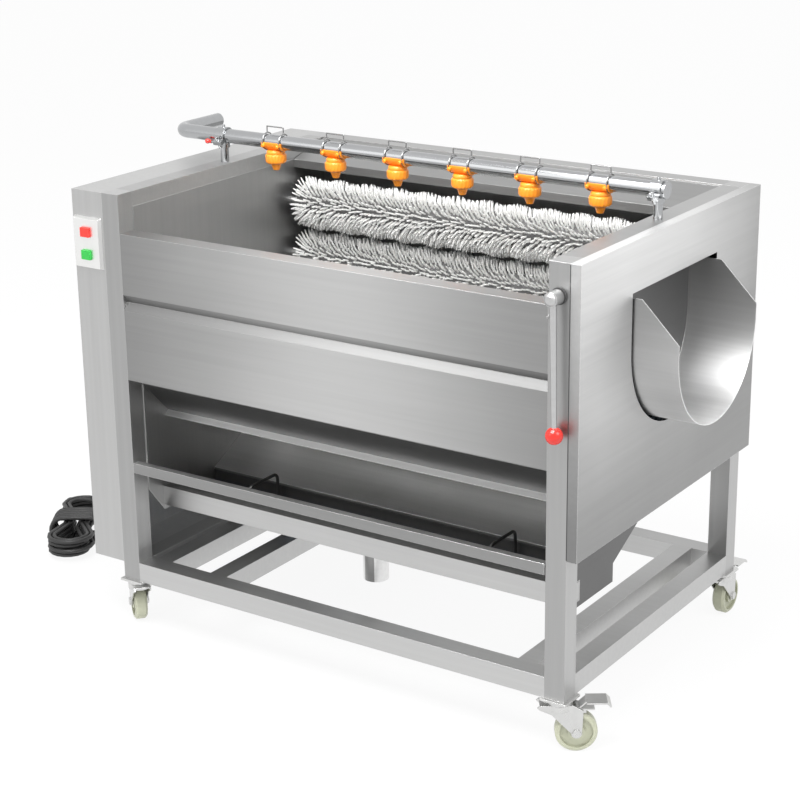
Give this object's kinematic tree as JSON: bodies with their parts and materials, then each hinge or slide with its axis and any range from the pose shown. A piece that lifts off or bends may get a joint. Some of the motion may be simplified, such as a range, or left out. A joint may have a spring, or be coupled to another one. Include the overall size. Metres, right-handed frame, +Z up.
{
  "type": "brush roller potato washing and peeling machine",
  "caption": "Wheeled stainless brush-roller potato washer and peeler: square-tube frame, spray pipe with nozzles, discharge gate and chute, peel tray with strainer, push-button station.",
  "frame": {"origin": "on the floor, under the middle of the machine's box, measured without the power cord and its hank, plug and gland", "axes": "+Z up, +X towards the discharge chute along the rollers, -Y towards the operator's side with the gate lever"},
  "size_m": [1.5843, 0.7612, 0.9271],
  "materials": {
    "frame_steel": "satin brushed stainless",
    "panel_steel": "fine brushed stainless sheet",
    "tray_steel": "fine brushed stainless sheet",
    "polished_steel": "ground stainless tube",
    "zinc": "bright zinc plating",
    "gate_steel": "brushed",
    "red_knob": "glossy phenolic",
    "bush": "machined nylon",
    "nozzle_orange": "moulded, semi-gloss",
    "wire": "bright spring wire",
    "shaft_steel": "turned",
    "bristle": "nylon bristle on a plastic core",
    "bearing_iron": "painted casting",
    "chain_steel": "oiled",
    "motor_paint": "semi-gloss paint",
    "switch_metal": "satin",
    "red_button": "semi-gloss",
    "green_button": "semi-gloss",
    "cord_rubber": "smooth black sheath",
    "wheel_nylon": "moulded nylon"
  },
  "bodies": {
    "machine": {"corner_posts": "frame_steel", "bottom_rails": "frame_steel", "upper_rails": "frame_steel", "motor_plate": "frame_steel", "left_end_wall": "panel_steel", "right_end_wall": "panel_steel", "side_panel": "panel_steel", "drive_cover": "panel_steel", "front_panel": "panel_steel", "back_panel": "panel_steel", "back_ledge": "panel_steel", "deflector": "panel_steel", "hopper_tray": "tray_steel", "chute": "tray_steel", "gate_bushes": "bush", "spray_pipe": "polished_steel", "pipe_supports": "polished_steel", "nozzles": "nozzle_orange", "nozzle_clips": "wire", "bearings": "bearing_iron", "drive_chains": "chain_steel", "motor": "motor_paint", "gearbox": "motor_paint", "switch_plate": "switch_metal", "cord_gland": "cord_rubber", "power_cord": "cord_rubber", "cord_hank": "cord_rubber", "plug": "cord_rubber", "caster_plates": "zinc"},
    "strainer_body": {"strainer": "tray_steel"},
    "gate_body": {"discharge_gate": "gate_steel", "discharge_lever": "zinc", "lever_ball": "red_knob"},
    "roller_body_1": {"roller_1": "shaft_steel", "brush_1": "bristle"},
    "roller_body_2": {"roller_2": "shaft_steel", "brush_2": "bristle"},
    "roller_body_3": {"roller_3": "shaft_steel", "brush_3": "bristle"},
    "roller_body_4": {"roller_4": "shaft_steel", "brush_4": "bristle"},
    "roller_body_5": {"roller_5": "shaft_steel", "brush_5": "bristle"},
    "roller_body_6": {"roller_6": "shaft_steel", "brush_6": "bristle"},
    "roller_body_7": {"roller_7": "shaft_steel", "brush_7": "bristle"},
    "motor_sprocket_body": {"motor_sprocket": "shaft_steel"},
    "red_button_body": {"red_button": "red_button"},
    "green_button_body": {"green_button": "green_button"},
    "caster_1": {"fork_1": "zinc"},
    "caster_wheel_1": {"wheel_1": "wheel_nylon"},
    "caster_2": {"fork_2": "zinc"},
    "caster_wheel_2": {"wheel_2": "wheel_nylon"},
    "brake_pedal_front_body": {"brake_pedal_front": "zinc"},
    "caster_3": {"fork_3": "zinc"},
    "caster_wheel_3": {"wheel_3": "wheel_nylon"},
    "brake_pedal_back_body": {"brake_pedal_back": "zinc"},
    "caster_4": {"fork_4": "zinc"},
    "caster_wheel_4": {"wheel_4": "wheel_nylon"}
  },
  "joints": [
    {"name": "strainer_lift", "type": "slide", "parent": "machine", "child": "strainer_body", "axis": [0, 0, 1], "range_m": [0, 0.1]},
    {"name": "gate_swing", "type": "hinge", "parent": "machine", "child": "gate_body", "pos_m": [0.4625, -0.01525, 0.794], "axis": [0, -1, 0], "range_deg": [0, 40]},
    {"name": "roller_1_spin", "type": "hinge", "parent": "machine", "child": "roller_body_1", "pos_m": [0.0015, -0.2097, 0.62667], "axis": [1, 0, 0], "continuous": true},
    {"name": "roller_2_spin", "type": "hinge", "parent": "machine", "child": "roller_body_2", "pos_m": [0.0015, -0.16118, 0.53018], "axis": [1, 0, 0], "continuous": true},
    {"name": "roller_3_spin", "type": "hinge", "parent": "machine", "child": "roller_body_3", "pos_m": [0.0015, -0.06925, 0.47351], "axis": [1, 0, 0], "continuous": true},
    {"name": "roller_4_spin", "type": "hinge", "parent": "machine", "child": "roller_body_4", "pos_m": [0.0015, 0.03875, 0.47351], "axis": [1, 0, 0], "continuous": true},
    {"name": "roller_5_spin", "type": "hinge", "parent": "machine", "child": "roller_body_5", "pos_m": [0.0015, 0.13068, 0.53018], "axis": [1, 0, 0], "continuous": true},
    {"name": "roller_6_spin", "type": "hinge", "parent": "machine", "child": "roller_body_6", "pos_m": [0.0015, 0.1792, 0.62667], "axis": [1, 0, 0], "continuous": true},
    {"name": "roller_7_spin", "type": "hinge", "parent": "machine", "child": "roller_body_7", "pos_m": [0.0015, 0.1792, 0.73467], "axis": [1, 0, 0], "continuous": true},
    {"name": "motor_sprocket_spin", "type": "hinge", "parent": "machine", "child": "motor_sprocket_body", "pos_m": [-0.4585, 0.13068, 0.206], "axis": [1, 0, 0], "continuous": true},
    {"name": "red_button_press", "type": "slide", "parent": "machine", "child": "red_button_body", "axis": [0, 1, 0], "range_m": [0, 0.004], "stiffness_N_per_m": 300, "springref_m": -0.002},
    {"name": "green_button_press", "type": "slide", "parent": "machine", "child": "green_button_body", "axis": [0, 1, 0], "range_m": [0, 0.004], "stiffness_N_per_m": 300, "springref_m": -0.002},
    {"name": "caster_1_swivel", "type": "hinge", "parent": "machine", "child": "caster_1", "pos_m": [-0.4595, -0.32625, 0.088], "axis": [0, 0, 1], "continuous": true},
    {"name": "wheel_1_spin", "type": "hinge", "parent": "caster_1", "child": "caster_wheel_1", "pos_m": [-0.48095, -0.30825, 0.036], "axis": [-0.6428, -0.766, 0], "continuous": true},
    {"name": "caster_2_swivel", "type": "hinge", "parent": "machine", "child": "caster_2", "pos_m": [0.4625, -0.32625, 0.088], "axis": [0, 0, 1], "continuous": true},
    {"name": "wheel_2_spin", "type": "hinge", "parent": "caster_2", "child": "caster_wheel_2", "pos_m": [0.48571, -0.31059, 0.036], "axis": [-0.5592, 0.829, 0], "continuous": true},
    {"name": "brake_pedal_front_press", "type": "hinge", "parent": "caster_2", "child": "brake_pedal_front_body", "pos_m": [0.48737, -0.30947, 0.0775], "axis": [-0.5592, 0.829, 0], "range_deg": [0, 8]},
    {"name": "caster_3_swivel", "type": "hinge", "parent": "machine", "child": "caster_3", "pos_m": [0.4625, 0.29575, 0.088], "axis": [0, 0, 1], "continuous": true},
    {"name": "wheel_3_spin", "type": "hinge", "parent": "caster_3", "child": "caster_wheel_3", "pos_m": [0.4625, 0.32375, 0.036], "axis": [-1, 0, 0], "continuous": true},
    {"name": "brake_pedal_back_press", "type": "hinge", "parent": "caster_3", "child": "brake_pedal_back_body", "pos_m": [0.4625, 0.32575, 0.0775], "axis": [-1, 0, 0], "range_deg": [0, 8]},
    {"name": "caster_4_swivel", "type": "hinge", "parent": "machine", "child": "caster_4", "pos_m": [-0.4595, 0.29575, 0.088], "axis": [0, 0, 1], "continuous": true},
    {"name": "wheel_4_spin", "type": "hinge", "parent": "caster_4", "child": "caster_wheel_4", "pos_m": [-0.4455, 0.32, 0.036], "axis": [-0.866, 0.5, 0], "continuous": true}
  ],
  "couplings": [
    {"joint": "roller_1_spin", "follows": "roller_5_spin", "ratio": 1},
    {"joint": "roller_2_spin", "follows": "roller_5_spin", "ratio": 1},
    {"joint": "roller_3_spin", "follows": "roller_5_spin", "ratio": 1},
    {"joint": "roller_4_spin", "follows": "roller_5_spin", "ratio": 1},
    {"joint": "roller_6_spin", "follows": "roller_5_spin", "ratio": 1},
    {"joint": "roller_7_spin", "follows": "roller_5_spin", "ratio": 1},
    {"joint": "motor_sprocket_spin", "follows": "roller_5_spin", "ratio": 1}
  ]
}
